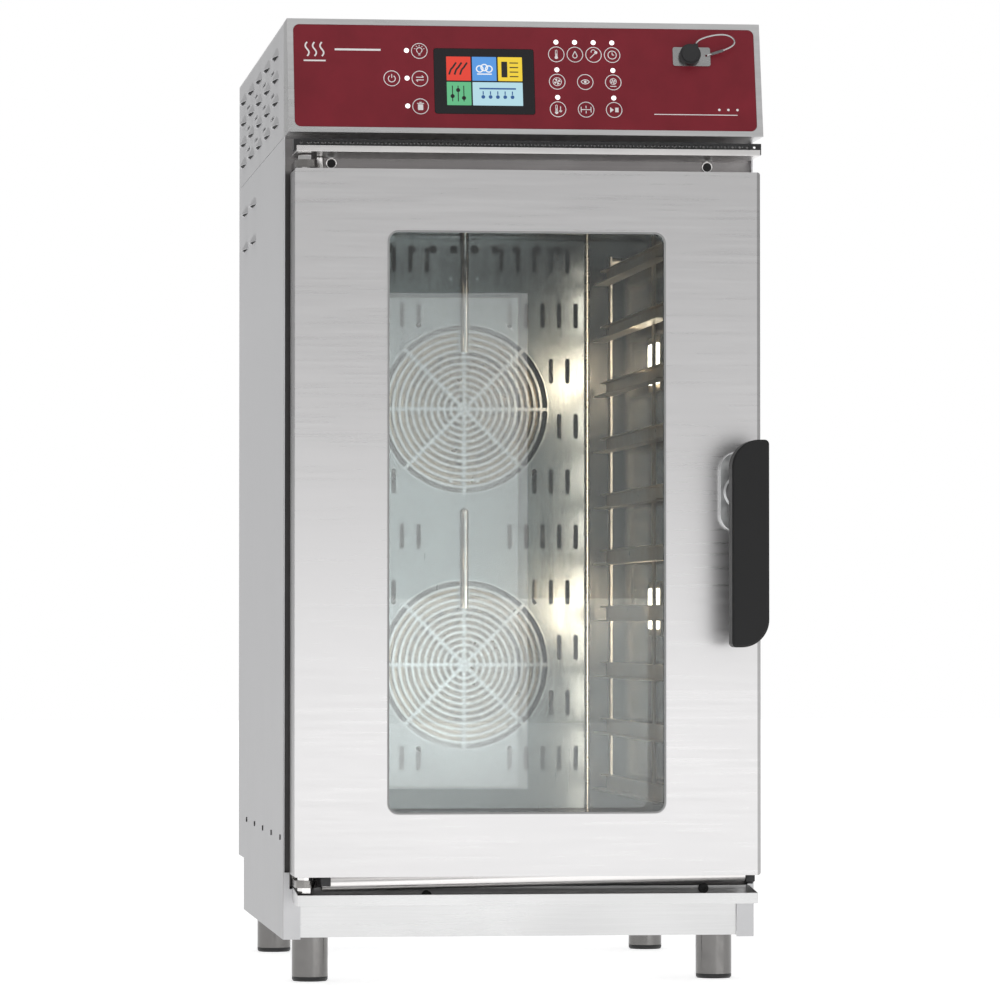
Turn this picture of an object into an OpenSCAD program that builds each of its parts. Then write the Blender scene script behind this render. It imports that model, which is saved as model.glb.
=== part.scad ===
// Slim combi steamer oven: ten tray levels, left-hinged glass door, touch control box.
// Frame: +Z up, the door faces -Y, +X is the user's right. The origin is on the floor,
// in the middle of the oven's overall width and depth. Millimetres.

/* [Cabinet] */
// Width over the two side panels
body_w = 519; // [500:1:560]
// Depth of the upper cabinet, from the side panels' front edges to the back
body_d = 700; // [690:1:760]
// Depth of the base, which stops short of the back to leave room for the pipes
base_d = 612; // [600:1:640]
// Height of the cabinet's top above the floor
top_z = 1050; // [1040:1:1070]
// Height of the panels' lower edges above the floor
base_z = 49; // [45:1:60]
// Height of the underside of the rear overhang
step_z = 111; // [105:1:130]
// Height of the seam between the side panels and the louvred upper covers
seam_z = 924; // [920:1:926]
// Thickness of the cover sheets
sheet = 1.5; // [1:0.1:1.8]
// Distance from the panels' front edges back to the recessed front frame
recess = 12; // [8:1:14]

/* [Control box] */
// Reach of the control face's top edge in front of the cabinet
panel_top_out = 41; // [35:1:45]
// Reach of the control face's bottom edge in front of the cabinet
panel_bottom_out = 70; // [66:1:74]
// Width of the steel rim round the coloured overlay
panel_rim = 6.5; // [5:0.5:10]

/* [Door] */
// Left edge of the door
door_x0 = -253; // [-255:1:-250]
// Right edge of the door
door_x1 = 256; // [252:1:257]
// Lower edge of the door
door_z0 = 119.6; // [118:0.1:122]
// Upper edge of the door
door_z1 = 885.2; // [880:0.1:886]
// Distance of the door's front face in front of the cabinet
door_front = 68; // [66:1:72]
// Half the width of the window
window_half_w = 152; // [140:1:155]
// Lower edge of the window
window_z0 = 187.2; // [185:0.1:200]
// Upper edge of the window
window_z1 = 818.6; // [800:0.1:820]
// Sideways place of the hinge axis
hinge_x = -238; // [-240:1:-236]
// Distance of the hinge axis in front of the cabinet
hinge_front = 40; // [38:1:42]

/* [Handle] */
// Sideways place of the lever's pivot
handle_x = 233; // [231:1:234]
// Height of the lever's pivot
handle_z = 536; // [500:1:560]
// Distance of the grip's face in front of the cabinet
handle_front = 143; // [138:1:150]
// Width of the grip
grip_w = 40.5; // [36:0.5:44]

/* [Chamber] */
// Half the inner width of the oven chamber
cavity_half_w = 185; // [180:1:186]
// Height of the chamber floor
cavity_z0 = 170; // [168:1:175]
// Height of the chamber ceiling
cavity_z1 = 860; // [850:1:862]
// Distance of the chamber's rear wall behind the cabinet's front edges
cavity_d = 600; // [598:1:602]
// Distance of the fan baffle behind the cabinet's front edges
baffle_d = 547; // [545:1:550]
// Half the width of the fan baffle
baffle_half_w = 151; // [145:1:155]
// Height of the upper fan
fan_upper_z = 650.4; // [645:0.1:655]
// Height of the lower fan
fan_lower_z = 343.7; // [340:0.1:350]
// Radius of the fan guards
guard_r = 101; // [95:1:103]
// Number of tray levels
levels = 10; // [8:1:10]
// Distance between tray levels
level_pitch = 67; // [65:0.5:68]
// Height of the top tray rail's upper edge
top_rail_z = 816; // [800:1:820]

/* [Feet] */
// Sideways distance of the feet from the middle
foot_x = 225; // [215:1:230]
// Radius of the foot tubes
foot_r = 20; // [18:1:22]

/* [Hidden] */
$fn = 48;
half_w = body_w / 2;
in_w = half_w - sheet;                      // inner face of the side panels
head_h = 1.5;                               // screw heads on the rear panel
front_y = (handle_front - body_d - head_h) / 2;  // the panels' front edges, in the part's frame
door_back = 7.2;                            // inner face of the door, in front of the cabinet
seal_back = 9;                              // rear edge of the door skin's returns
wall = 1.2;                                 // chamber sheet
insul = 26;                                 // blanket thickness round the chamber
fan_z = [fan_upper_z, fan_lower_z];
sill_z = 106;                               // lower edge of the front frame
lamp_z = [689, 410];
lamp_y = 214;
face_h = top_z - seam_z;
face_angle = atan((panel_bottom_out - panel_top_out) / face_h);
face_len = face_h / cos(face_angle);
face_t = 3;                                 // thickness of the control face
display = [-45.5, 59.8, 109.4, 74.5];       // centre across, centre up the face, width, height
socket_x = 181;                             // probe socket, across the face
socket_s = 91.5;                            // probe socket, up the face
pin_r = 5;                                  // hinge pins
shaft_r = 6;                                // fan shafts
spindle_r = 8;                              // handle spindle
fit = 0.05;                                 // radial clearance of running pins
vent_x = 120;
vent_y = 560;
vent_r = 25;
flap_z = 1000;
drain_y = 300;
drain_z = 90;
foot_y = [64, 585];

// ---- helpers: every depth below is measured from the side panels' front edges ----

module from_front() { translate([0, front_y, 0]) children(); }

module block(x, y, z) {
    translate([x[0], y[0], z[0]]) cube([x[1] - x[0], y[1] - y[0], z[1] - z[0]]);
}

// Extrudes an outline drawn in (x, z) over a stretch of depth
module along_y(y) { translate([0, y[1], 0]) rotate([90, 0, 0]) linear_extrude(y[1] - y[0]) children(); }

// Extrudes an outline drawn in (y, z) over a stretch of width
module along_x(x) { translate([x[0], 0, 0]) rotate([90, 0, 90]) linear_extrude(x[1] - x[0]) children(); }

module rod_x(x, y, z, r) { translate([x[0], y, z]) rotate([0, 90, 0]) cylinder(h = x[1] - x[0], r = r); }
module rod_y(x, y, z, r) { translate([x, y[1], z]) rotate([90, 0, 0]) cylinder(h = y[1] - y[0], r = r); }
module rod_z(x, y, z, r) { translate([x, y, z[0]]) cylinder(h = z[1] - z[0], r = r); }

// A rectangle from two corners with rounded corners
module round_rect(x, z, r) {
    translate([x[0] + r, z[0]]) square([x[1] - x[0] - 2 * r, z[1] - z[0]]);
    translate([x[0], z[0] + r]) square([x[1] - x[0], z[1] - z[0] - 2 * r]);
    for (cx = [x[0] + r, x[1] - r], cz = [z[0] + r, z[1] - r]) translate([cx, cz]) circle(r);
}

module ring_rect(x, z, r, w) {
    difference() {
        round_rect(x, z, r);
        round_rect([x[0] + w, x[1] - w], [z[0] + w, z[1] - w], max(r - w, 1));
    }
}

// The same thing on the right and, mirrored, on the left
module both_sides() {
    children();
    mirror([1, 0, 0]) children();
}

// Depth of the control face at a height
function face_y(z) = -panel_bottom_out + (z - seam_z) * tan(face_angle);

// Places things on the tilted control face: x across, z up the face, y inwards
module on_face() {
    translate([0, -panel_bottom_out, seam_z]) rotate([-face_angle, 0, 0]) children();
}

// ---- cabinet ----

module base_tray() from_front() color("silver") {
    skirt_w = half_w - 19;
    block([-in_w, in_w], [20, base_d - sheet - 0.1], [70, 71.5]);
    difference() {
        block([-in_w, in_w], [base_d - sheet, base_d], [50, step_z]);
        rod_y(0, [base_d - 5, base_d + 5], drain_z, 17);
        for (x = [-150, -90]) rod_y(x, [base_d - 5, base_d + 5], 88, 14);
        rod_y(-215, [base_d - 5, base_d + 5], 85, 10);
    }
    block([-skirt_w, skirt_w], [3, 4.5], [51, sill_z - 0.5]);
    block([-skirt_w, skirt_w], [4.5, recess], [sill_z - 2, sill_z - 0.5]);
    block([-skirt_w, skirt_w], [4.5, 19.9], [70, 71.5]);
    block([-skirt_w, skirt_w], [4.5, 14], [51, 52.5]);
}

// One louvre: part of a cone pressed outwards, open along its lower edge
module louvre_hood(y, z, len, h, out) {
    r = (len * len / 4 + out * out) / (2 * out);
    translate([-half_w, y, z - h / 2]) difference() {
        intersection() {
            translate([r - out, 0, 0]) cylinder(h = h, r1 = r, r2 = r - out);
            translate([-out - 1, -len, 0]) cube([out + 1.3, 2 * len, h]);
        }
        translate([r - out, 0, -0.01]) cylinder(h = h, r1 = r - 1.2, r2 = r - out - 1.2);
    }
}

louvre_y = [for (i = [0:4]) 104 + 126.5 * i];
louvre_z = [for (i = [0:3]) 1027.3 - 25.4 * i];
side_louvre_y = [447, 579];
side_louvre_z = [890, 847];

module side_panel_left() {
    difference() {
        along_x([-half_w, -in_w]) difference() {
            translate([0, base_z]) square([body_d, seam_z - base_z]);
            translate([base_d, 0]) square([body_d, step_z]);
        }
        for (y = side_louvre_y, z = side_louvre_z)
            along_x([-half_w - 1, -in_w + 1]) round_rect([y - 25, y + 25], [z - 5.5, z - 2.5], 1.2);
    }
    block([-in_w, -half_w + 19], [0, sheet], [base_z, sill_z - 2]);
    block([-in_w, -half_w + 7], [0, sheet], [sill_z - 2, 122]);
    block([-in_w, -half_w + 12], [body_d - 2 * sheet, body_d - sheet], [step_z + 2, seam_z - 2]);
    for (y = side_louvre_y, z = side_louvre_z) louvre_hood(y, z, 74, 12, 6);
}

module left_side_panel() from_front() color("lightgray") side_panel_left();
module right_side_panel() from_front() color("lightgray") mirror([1, 0, 0]) side_panel_left();

module upper_cover_left() {
    difference() {
        block([-half_w, -in_w], [0.3, body_d], [seam_z + 0.6, top_z - sheet]);
        for (y = louvre_y, z = louvre_z)
            along_x([-half_w - 1, -in_w + 1]) round_rect([y - 25, y + 25], [z - 5.5, z - 2.5], 1.2);
        for (i = [0:3], j = [0:2])
            along_x([-half_w - 1, -in_w + 1])
                round_rect([louvre_y[i] + 39, louvre_y[i] + 86], [louvre_z[j] - 18.2, louvre_z[j] - 14.8], 1.6);
    }
    for (y = louvre_y, z = louvre_z) louvre_hood(y, z, 74, 12, 6);
}

module left_upper_cover() from_front() color("silver") upper_cover_left();
module right_upper_cover() from_front() color("silver") mirror([1, 0, 0]) upper_cover_left();

module top_cover() from_front() color("silver") difference() {
    union() {
        block([-half_w, half_w], [0.3, body_d], [top_z - sheet, top_z]);
        block([-in_w + 1, in_w - 1], [20, 21.5], [top_z - 15, top_z - sheet]);
    }
    rod_z(vent_x, vent_y, [top_z - 10, top_z + 5], vent_r + 1);
}

module rear_panel() from_front() color("gainsboro") {
    difference() {
        block([-in_w, in_w], [body_d - sheet, body_d], [step_z + sheet, top_z - sheet]);
        for (x = [-150:50:150], z = [960, 985, 1010])
            along_y([body_d - 5, body_d + 5]) round_rect([x - 18, x + 18], [z - 3, z + 3], 2.9);
    }
    block([-in_w, in_w], [base_d, body_d], [step_z, step_z + sheet]);
}

module front_frame() from_front() color("darkgray") difference() {
    block([-in_w, in_w], [recess, recess + sheet], [sill_z, seam_z]);
    block([-cavity_half_w - wall, cavity_half_w + wall], [0, 30], [cavity_z0 - wall, cavity_z1 + wall]);
}

// ---- chamber ----

module cavity_liner() from_front() color("silver") difference() {
    block([-cavity_half_w - wall, cavity_half_w + wall], [recess, cavity_d + wall],
        [cavity_z0 - wall, cavity_z1 + wall]);
    block([-cavity_half_w, cavity_half_w], [0, cavity_d], [cavity_z0, cavity_z1]);
    for (z = fan_z) rod_y(0, [cavity_d - 5, cavity_d + 5], z, shaft_r + 2);
    rod_z(0, drain_y, [cavity_z0 - 5, cavity_z0 + 5], 14.5);
    rod_z(vent_x, vent_y, [cavity_z1 - 5, cavity_z1 + 5], vent_r - 1.5);
    for (z = lamp_z)
        block([cavity_half_w - 5, cavity_half_w + 5], [lamp_y - 36, lamp_y + 36], [z - 23, z + 23]);
}

module insulation() from_front() color("khaki") difference() {
    block([-cavity_half_w - insul, cavity_half_w + insul], [recess + sheet, cavity_d + insul],
        [cavity_z0 - insul, cavity_z1 + insul]);
    block([-cavity_half_w - wall, cavity_half_w + wall], [0, cavity_d + wall],
        [cavity_z0 - wall, cavity_z1 + wall]);
    for (z = fan_z) rod_y(0, [cavity_d - 5, cavity_d + 50], z, 12);
    rod_z(0, drain_y, [cavity_z0 - 50, cavity_z0 + 5], 16.5);
    rod_z(vent_x, vent_y, [cavity_z1 - 5, cavity_z1 + 50], vent_r + 0.5);
    for (z = lamp_z)
        block([cavity_half_w - 5, cavity_half_w + 50], [lamp_y - 40, lamp_y + 40], [z - 27, z + 27]);
}

module door_gasket() from_front() color("dimgray") {
    along_y([-6.7, recess]) ring_rect([-207, 207], [148, 882], 14, 7);
    along_y([-2, recess]) ring_rect([-199.9, 199.9], [155.1, 874.9], 7, 9);
}

// The baffle's openings, drawn in (x, z): a row of round holes, then staggered rows of slots
module baffle_holes() {
    for (i = [-5:4]) translate([25.3 * (i + 0.5), 842]) circle(5.2, $fn = 24);
    for (row = [0:9], k = [0:4], side = [-1, 1]) {
        z = 829.5 - 66.45 * row;
        x = 45 + 10 * (row % 2) + 20 * k;
        gap = min([for (f = fan_z) norm([x, max(0, abs(z - f) - 15)])]) - guard_r;
        if (gap > 6) translate([side * x, 0]) round_rect([-2.75, 2.75], [z - 15, z + 15], 2.7);
    }
}

// One fan guard, drawn in (x, z) about the fan's axis: the slots between rings and spokes,
// and the long hole where the steam pipe ends
module guard_slots() {
    hub_r = 8.6;
    ring_step = (guard_r - hub_r) / 12;
    difference() {
        circle(guard_r);
        circle(hub_r);
        for (i = [1:11]) difference() {
            circle(hub_r + ring_step * i + 1.45);
            circle(hub_r + ring_step * i - 1.45);
        }
        for (a = [0:45:135]) rotate(a) square([2 * guard_r + 2, 4.2], center = true);
        round_rect([-6.5, 6.5], [66, 95], 6.4);
    }
    round_rect([-4.8, 4.8], [68.5, 92.5], 4.7);
}

module fan_baffle() from_front() color("silver") difference() {
    translate([0, 0, cavity_z0 + 1]) linear_extrude(cavity_z1 - cavity_z0 - 2) difference() {
        union() {
            round_rect([-baffle_half_w, baffle_half_w], [baffle_d, baffle_d + 40], 6);
            translate([-baffle_half_w, baffle_d + 20]) square([2 * baffle_half_w, 22]);
        }
        round_rect([-baffle_half_w + wall, baffle_half_w - wall], [baffle_d + wall, baffle_d + 60], 4.8);
        translate([-baffle_half_w + wall, baffle_d + 20]) square([2 * (baffle_half_w - wall), 40]);
    }
    along_y([baffle_d - 5, baffle_d + 5]) {
        baffle_holes();
        for (z = fan_z) translate([0, z]) guard_slots();
    }
    rod_y(0, [baffle_d - 5, baffle_d + 5], injector_z, 5.2);
}

injector_z = fan_lower_z + 183;             // where the lower steam pipe comes through the baffle

module steam_injectors() from_front() color("gainsboro") {
    rod_z(0, baffle_d - 9, [fan_upper_z + 68, cavity_z1], 4.5);
    rod_z(0, baffle_d - 9, [fan_lower_z + 68, injector_z], 4.5);
    translate([0, baffle_d - 9, injector_z]) sphere(4.5);
    rod_y(0, [baffle_d - 9, cavity_d], injector_z, 4.5);
}

module heaters() from_front() color("dimgray") for (z = fan_z) {
    for (y = [558, 571, 584]) translate([0, y, z]) rotate([90, 0, 0])
        rotate_extrude() translate([112, 0]) circle(4.2);
    for (s = [-1, 1]) {
        rod_y(112 * s, [558, cavity_d], z, 4.2);
    }
}

module fan_motors() from_front() color("slategray") for (z = fan_z) difference() {
    union() {
        block([-58, 58], [cavity_d + insul, cavity_d + insul + 4], [z - 58, z + 58]);
        rod_y(0, [cavity_d + insul + 4, cavity_d + insul + 68], z, 52);
        for (a = [0:15:345]) translate([0, 0, z]) rotate([0, a, 0])
            block([51, 56], [cavity_d + insul + 8, cavity_d + insul + 62], [-1, 1]);
    }
    rod_y(0, [cavity_d, cavity_d + insul + 60], z, shaft_r + fit);
}

// One tray rail: a pressed channel, open towards the chamber
module tray_rail(z) {
    along_y([20, 530]) translate([0, z]) polygon([[171.5, 0], [163, 0], [163, -1.5], [170, -1.5],
        [170, -16.5], [154, -16.5], [154, -18], [171.5, -18]]);
}

module rack_right() {
    for (i = [0:levels - 1]) tray_rail(top_rail_z - level_pitch * i);
    for (y = [60, 162, 514]) {
        block([171.5, 174], [y - 8, y + 8], [190, 832]);
        for (z = [196, 826]) rod_x([174, cavity_half_w], y, z, 5);
    }
}

module tray_racks() from_front() color("silver") both_sides() rack_right();

module lamp_frames() from_front() color("silver") for (z = lamp_z) {
    difference() {
        block([cavity_half_w - 4, cavity_half_w], [lamp_y - 44, lamp_y + 44], [z - 31, z + 31]);
        block([cavity_half_w - 5, cavity_half_w + 5], [lamp_y - 34, lamp_y + 34], [z - 21, z + 21]);
        block([cavity_half_w - 5, cavity_half_w - 3], [lamp_y - 36.2, lamp_y + 36.2], [z - 23.2, z + 23.2]);
    }
    difference() {
        block([cavity_half_w + wall, cavity_half_w + 40], [lamp_y - 39, lamp_y + 39], [z - 26, z + 26]);
        block([cavity_half_w, cavity_half_w + 38.5], [lamp_y - 37, lamp_y + 37], [z - 24, z + 24]);
    }
    rod_x([cavity_half_w + 12, cavity_half_w + 38.5], lamp_y, z, 9);
}

module lamp_lenses() from_front() color("white") for (z = lamp_z)
    translate([0, lamp_y, z]) difference() {
        along_x([cavity_half_w - 6, cavity_half_w - 3]) round_rect([-36, 36], [-23, 23], 5);
        along_x([cavity_half_w - 3.5, cavity_half_w - 2]) round_rect([-33, 33], [-20, 20], 3);
    }

module drain_strainer() from_front() color("silver") difference() {
    union() {
        rod_z(0, drain_y, [cavity_z0, cavity_z0 + 2], 34);
        rod_z(0, drain_y, [cavity_z0 - 8, cavity_z0], 13.5);
    }
    for (a = [0:30:330]) translate([0, drain_y, 0]) rotate(a) rod_z(9, 0, [cavity_z0 - 9, cavity_z0 + 3], 1.6, $fn = 16);
    rod_z(0, drain_y, [cavity_z0 - 9, cavity_z0 + 3], 4);
}

module drain_pipe() from_front() color("gray") difference() {
    union() {
        rod_z(0, drain_y, [drain_z, cavity_z0 - wall], 16);
        translate([0, drain_y, drain_z]) sphere(16);
        rod_y(0, [drain_y, body_d - 70], drain_z, 16);
        rod_y(0, [body_d - 71, body_d - 10], drain_z, 15);
    }
    rod_z(0, drain_y, [drain_z, cavity_z0 + 5], 13.5);
    translate([0, drain_y, drain_z]) sphere(13.5);
    rod_y(0, [drain_y, body_d + 5], drain_z, 13.5);
}

module inlet_valves() from_front() color("steelblue") for (x = [-150, -90]) difference() {
    union() {
        rod_y(x, [base_d - 8, base_d + 2], 88, 12.6);
        rod_y(x, [base_d + 2, base_d + 22], 88, 13.2);
        block([x - 17, x + 17], [base_d - 52, base_d - 8], [72, 104]);
        rod_z(x, base_d - 30, [104, 128], 13);
    }
    rod_y(x, [base_d - 30, base_d + 30], 88, 9);
}

module vent_chimney() from_front() color("silver") difference() {
    union() {
        rod_z(vent_x, vent_y, [cavity_z1 + wall, top_z + 4], vent_r - 0.4);
        rod_z(vent_x, vent_y, [top_z + 4, top_z + 30], vent_r);
        rod_z(vent_x, vent_y, [top_z, top_z + 3], vent_r + 8);
    }
    rod_z(vent_x, vent_y, [cavity_z1, top_z + 40], vent_r - 1.5);
    rod_x([vent_x - 40, vent_x + 40], vent_y, flap_z, 3 + fit);
}

module vent_flap() from_front() color("gray") {
    difference() {
        rod_z(vent_x, vent_y, [flap_z - 0.8, flap_z + 0.8], vent_r - 1.9);
        rod_x([vent_x - 40, vent_x + 40], vent_y, flap_z, 2);
    }
    rod_x([vent_x - vent_r - 4, vent_x + vent_r + 14], vent_y, flap_z, 3);
}

module flap_actuator() from_front() color("darkslategray") difference() {
    union() {
        block([vent_x + vent_r + 2, vent_x + vent_r + 32], [vent_y - 18, vent_y + 18], [flap_z - 14, flap_z + 22]);
        block([vent_x + vent_r + 2, vent_x + vent_r + 3.5], [vent_y - 30, vent_y + 30], [flap_z - 20, top_z - sheet]);
    }
    rod_x([vent_x, vent_x + vent_r + 20], vent_y, flap_z, 3 + fit);
}

module cable_gland() from_front() color("dimgray") difference() {
    union() {
        rod_y(-215, [base_d - 8, base_d + 8], 85, 9.9);
        translate([-215, base_d + 8, 85]) rotate([90, 0, 0]) cylinder(h = 8, r = 15, $fn = 6);
        rod_y(-215, [base_d + 8, base_d + 24], 85, 12);
    }
    rod_y(-215, [base_d - 10, base_d + 30], 85, 6);
}

// ---- front of the cabinet ----

module steam_deflector() from_front() color("whitesmoke") {
    block([-251, 256], [-panel_bottom_out, recess], [903, 904.2]);
    block([-251, 256], [-panel_bottom_out, -panel_bottom_out + 1.2], [904.2, 909.5]);
}

module vent_trim() from_front() color("black") difference() {
    union() {
        block([-254, 257.5], [-67, -65], [904.3, 916.5]);
        block([-254, 257.5], [-65, -48], [915, 916.5]);
        block([-254, -252], [-65, -48], [904.3, 915]);
        block([255.5, 257.5], [-65, -48], [904.3, 915]);
    }
    for (i = [-31:31]) rod_y(2 + 8 * i, [-70, -60], 912.6, 1.5, $fn = 16);
}

module gutter() from_front() color("gainsboro") {
    x0 = -249.5;
    x1 = 252.5;
    rear_r = 17;
    y_front = -72;
    y_rear = -0.3;
    along_x([x0, x1]) difference() {
        union() {
            translate([y_front, 89]) square([y_rear - rear_r - y_front, 11.7]);
            intersection() {
                translate([y_rear - rear_r, 89 + rear_r]) circle(rear_r);
                translate([y_rear - rear_r, 89]) square([rear_r, rear_r]);
            }
        }
        translate([y_front + 1.2, 90.2]) square([y_rear - rear_r - y_front - 1.2, 20]);
        translate([y_rear - rear_r, 89 + rear_r]) circle(rear_r - 1.2);
    }
    for (x = [[x0, x0 + 1.2], [x1 - 1.2, x1]]) along_x(x) difference() {
        union() {
            polygon([[y_front + 1.2, 90.2], [y_front + 1.2, 100.7], [y_rear - rear_r, 106], [y_rear - rear_r, 90.2]]);
            intersection() {
                translate([y_rear - rear_r, 89 + rear_r]) circle(rear_r - 1.2);
                translate([y_rear - rear_r, 89]) square([rear_r, rear_r]);
            }
        }
    }
}

module control_box() from_front() color("silver") difference() {
    union() {
        along_x([-half_w, half_w]) polygon([[-panel_top_out, top_z], [-panel_bottom_out, seam_z],
            [0, seam_z], [0, top_z]]);
        block([-in_w + 0.5, in_w - 0.5], [0, recess + sheet], [seam_z, seam_z + sheet]);
    }
    along_x([-in_w, in_w]) polygon([[face_y(top_z - sheet) + face_t / cos(face_angle), top_z - sheet],
        [face_y(seam_z + sheet) + face_t / cos(face_angle), seam_z + sheet],
        [40, seam_z + sheet], [40, top_z - sheet]]);
    on_face() {
        along_y([-1, 1]) round_rect([-half_w + panel_rim, half_w - panel_rim],
            [panel_rim - 0.5, face_len - panel_rim], 7);
        display_opening(0.3);
        rod_y(socket_x, [-5, 10], socket_s, 9.2);
    }
}

module display_opening(gap) {
    w = display[2] / 2 + gap;
    h = display[3] / 2 + gap;
    along_y([-5, 10])
        round_rect([display[0] - w, display[0] + w], [display[1] - h, display[1] + h], 3);
}

module control_overlay() from_front() color([0.5, 0.13, 0.2]) on_face() difference() {
    along_y([0.2, 1]) round_rect([-half_w + panel_rim + 0.2, half_w - panel_rim - 0.2],
        [panel_rim - 0.3, face_len - panel_rim - 0.2], 6.8);
    display_opening(0.3);
    rod_y(socket_x, [-5, 10], socket_s, 9.2);
}

module display_module() from_front() color([0.04, 0.04, 0.05]) on_face() {
    w = display[2] / 2;
    h = display[3] / 2;
    along_y([0.1, 5]) round_rect([display[0] - w, display[0] + w], [display[1] - h, display[1] + h], 3);
    block([display[0] - w + 4, display[0] + w - 4], [5, 12], [display[1] - h + 4, display[1] + h - 4]);
}

module control_board() from_front() color("darkgreen") on_face() {
    block([-160, 125], [16, 17.6], [12, 108]);
    for (x = [-150, -20, 115], s = [17, 103]) rod_y(x, [face_t, 16], s, 3);
    for (x = [-130, -80, 20, 70]) block([x, x + 22], [17.6, 27], [40, 62]);
    for (x = [-45, 50, 95]) rod_y(x, [17.6, 28], 30, 6);
}

module socket_plate() from_front() color("silver") on_face() difference() {
    along_y([-1.3, 0.2]) round_rect([162.5, 204], [80, 101.5], 2.5);
    rod_y(socket_x, [-5, 5], socket_s, 9.2);
    rod_y(199.5, [-5, 5], 92, 1.2, $fn = 16);
}

module probe_socket() from_front() color("gray") on_face() difference() {
    union() {
        rod_y(socket_x, [-1.3, 24], socket_s, 9.1);
        rod_y(socket_x, [3.4, 8], socket_s, 13);
    }
    rod_y(socket_x, [-5, 18], socket_s, 6);
}

module socket_cap() from_front() color("black") on_face() {
    rod_y(socket_x, [-1.7, 12], socket_s, 5.7);
    rod_y(socket_x, [-8.5, -1.7], socket_s, 11.5);
    rod_y(socket_x, [-10, -8.5], socket_s, 9.5);
    block([socket_x + 4, socket_x + 9], [-7, -4], [socket_s + 8.5, socket_s + 12.5]);
}

// The tether's route, on the control face: across, outwards (negative y) and up
tether_route = [[188, -5.5, 104.3], [189, -6, 106], [192, -7, 108.2], [197, -8, 110.2], [203, -9, 111.8],
    [210, -10, 112.9], [217, -10.5, 113.2], [223, -10, 112.4], [227.5, -9.5, 110.2], [230, -9, 107],
    [229.5, -8, 103.6], [226.5, -7, 100.8], [222, -6, 98.6], [217, -5, 96.8], [211.5, -4, 95.2],
    [206.5, -3.2, 93.8], [203, -2.6, 92.8], [200.5, -2.2, 92.3]];
tether_r = 0.9;
tether_sides = 8;

function unit(v) = v / norm(v);
function route_dir(p, i) = unit(p[min(i + 1, len(p) - 1)] - p[max(i - 1, 0)]);
function ring_points(p, i) = let (d = route_dir(p, i), u = unit(cross(d, [0, 1, 0])), w = cross(u, d))
    [for (k = [0:tether_sides - 1]) let (a = 360 * k / tether_sides) p[i] + tether_r * (cos(a) * u + sin(a) * w)];

module swept_tube(p) {
    n = tether_sides;
    last = (len(p) - 1) * n;
    polyhedron(points = [for (i = [0:len(p) - 1]) each ring_points(p, i)],
        faces = concat([[for (k = [0:n - 1]) k]],
            [for (i = [0:len(p) - 2], k = [0:n - 1])
                [i * n + k, (i + 1) * n + k, (i + 1) * n + (k + 1) % n, i * n + (k + 1) % n]],
            [[for (k = [n - 1:-1:0]) last + k]]));
}

module cap_tether() from_front() color("gray") on_face() swept_tube(tether_route);

// ---- door furniture on the cabinet ----

module hinge_arm(z) {
    difference() {
        union() {
            block([hinge_x - 12, hinge_x + 12], [-hinge_front, recess], z);
            rod_z(hinge_x, -hinge_front, z, 12);
        }
        rod_z(hinge_x, -hinge_front, [z[0] - 5, z[1] + 5], pin_r + fit);
    }
}

module hinge_brackets() from_front() color("gainsboro") {
    hinge_arm([887.6, 896]);
    block([hinge_x - 12, hinge_x + 30], [recess - 4, recess], [876, 887.6]);
    hinge_arm([107.5, 115.5]);
    block([hinge_x - 12, hinge_x + 12], [0.5, recess], [115.5, 140]);
}

module hinge_pins() from_front() color("white") {
    rod_z(hinge_x, -hinge_front, [863, 896], pin_r);
    translate([hinge_x, -hinge_front, 896]) cylinder(h = 5, r = 9, $fn = 6);
    rod_z(hinge_x, -hinge_front, [107.5, 143], pin_r);
    translate([hinge_x, -hinge_front, 101.5]) cylinder(h = 6, r = 9, $fn = 6);
    difference() {
        rod_z(hinge_x, -hinge_front, [115.5, 118.6], 9);
        rod_z(hinge_x, -hinge_front, [114, 120], pin_r);
    }
}

module door_keeper() from_front() color("silver") {
    block([handle_x - 14, handle_x + 14], [recess - 3, recess], [handle_z - 54, handle_z - 14]);
    for (z = [handle_z - 45, handle_z - 22])
        block([handle_x - 8, handle_x + 8], [-1.5, recess - 3], [z, z + 5]);
    rod_z(handle_x, 3, [handle_z - 40, handle_z - 22], 4.3);
}

module foot_tubes() from_front() color("gainsboro") for (s = [-1, 1], y = foot_y) difference() {
    rod_z(foot_x * s, y, [5, 70], foot_r);
    rod_z(foot_x * s, y, [0, 62], foot_r - 3);
}

module foot(s, y) from_front() color("black") {
    translate([foot_x * s, y, 0]) cylinder(h = 2, r1 = foot_r - 1.5, r2 = foot_r - 0.2);
    rod_z(foot_x * s, y, [2, 4.7], foot_r - 0.2);
    rod_z(foot_x * s, y, [4.7, 40], foot_r - 3 - fit);
}

module foot_front_left() foot(-1, foot_y[0]);
module foot_front_right() foot(1, foot_y[0]);
module foot_rear_left() foot(-1, foot_y[1]);
module foot_rear_right() foot(1, foot_y[1]);

// A pan-head screw or rivet standing on a face, along -Y or outwards along X
module head_y(x, y, z, r) { rod_y(x, [y - 2.4, y], z, r); }

module panel_screws() from_front() color("dimgray") {
    for (x = [-206.5, 210]) head_y(x, recess, 897, 4.8);
    for (x = [-103, 203]) head_y(x, recess, 126.8, 4.8);
    both_sides() for (y = [38:130:558]) rod_x([half_w, half_w + 1.2], y, 159, 3);
    for (x = [-245:70:245], z = [130, 1035]) rod_y(x, [body_d, body_d + head_h], z, 3.5);
}

// ---- door ----

module door_outline(inset) {
    round_rect([door_x0 + inset, door_x1 - inset], [door_z0 + inset, door_z1 - inset], 3 - inset);
}

module window_outline(grow) {
    round_rect([-window_half_w - grow, window_half_w + grow], [window_z0 - grow, window_z1 + grow], 12 + grow);
}

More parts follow.
